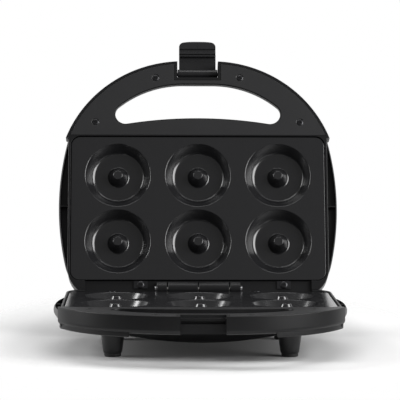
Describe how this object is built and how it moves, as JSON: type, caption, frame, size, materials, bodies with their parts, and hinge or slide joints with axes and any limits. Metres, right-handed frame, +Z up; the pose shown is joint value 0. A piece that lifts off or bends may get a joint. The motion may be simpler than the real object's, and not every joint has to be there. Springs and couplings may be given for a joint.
{
  "type": "donut maker",
  "caption": "Electric donut maker with ring cavities in two non-stick plates, D-shaped handles, rear hinge and a swing-out latch, standing open.",
  "frame": {"origin": "centre of the footprint, on the surface that the feet stand on", "axes": "+Z up, -Y towards the user and the handle, +X to the user's right; the lid stands open at the back"},
  "size_m": [0.2434, 0.3043, 0.2551],
  "materials": {
    "housing": "fine moulded grain, satin",
    "cover": "satin, fine brushed-looking grain",
    "latch_plastic": "semi-gloss",
    "plate_coating": "smooth glossy non-stick coating on aluminium",
    "element_steel": "drawn, slightly tarnished",
    "zinc_steel": "zinc plated",
    "screw_steel": "zinc plated, turned",
    "rubber_black": "matt",
    "foot_plastic": "satin",
    "ceramic": "unglazed",
    "sleeve": "woven glass-fibre sleeve",
    "lens_red": "clear, tinted",
    "lens_green": "clear, tinted",
    "board": "phenolic board"
  },
  "bodies": {
    "base": {"base_shell": "housing", "base_handle_cover": "cover", "base_cover_screws": "screw_steel", "lower_plate": "plate_coating", "base_plate_brackets": "zinc_steel", "lower_heater": "element_steel", "lower_heater_clamps": "zinc_steel", "lower_reflector": "element_steel", "thermostat": "ceramic", "thermostat_bracket": "zinc_steel", "lower_reflector_screws": "screw_steel", "thermal_fuse": "sleeve", "base_terminal_block": "ceramic", "base_leads": "sleeve", "cord_bush": "rubber_black", "front_feet": "foot_plastic", "rear_feet": "foot_plastic", "foot_pads": "rubber_black", "foot_screws": "screw_steel", "hinge_pin": "element_steel", "pin_caps": "zinc_steel", "base_strip_screws": "screw_steel"},
    "lid": {"lid_shell": "housing", "lid_handle_cover": "cover", "lid_cover_screws": "screw_steel", "upper_plate": "plate_coating", "lid_plate_brackets": "zinc_steel", "upper_heater": "element_steel", "upper_heater_clamps": "zinc_steel", "upper_reflector": "element_steel", "upper_reflector_screws": "screw_steel", "lid_terminal_block": "ceramic", "lid_leads": "sleeve", "lid_strip_screws": "screw_steel", "power_lens": "lens_red", "ready_lens": "lens_green", "lamp_holder": "board", "power_lamp": "lens_red", "ready_lamp": "lens_green", "latch_pin": "element_steel"},
    "latch": {"latch": "latch_plastic"}
  },
  "joints": [
    {"name": "lid_hinge", "type": "hinge", "parent": "base", "child": "lid", "pos_m": [0, 0.05663, 0.042], "axis": [1, 0, 0], "range_deg": [0, 110]},
    {"name": "latch_hinge", "type": "hinge", "parent": "lid", "child": "latch", "pos_m": [0, 0.13541, 0.22627], "axis": [1, 0, 0], "range_deg": [0, 90]}
  ]
}
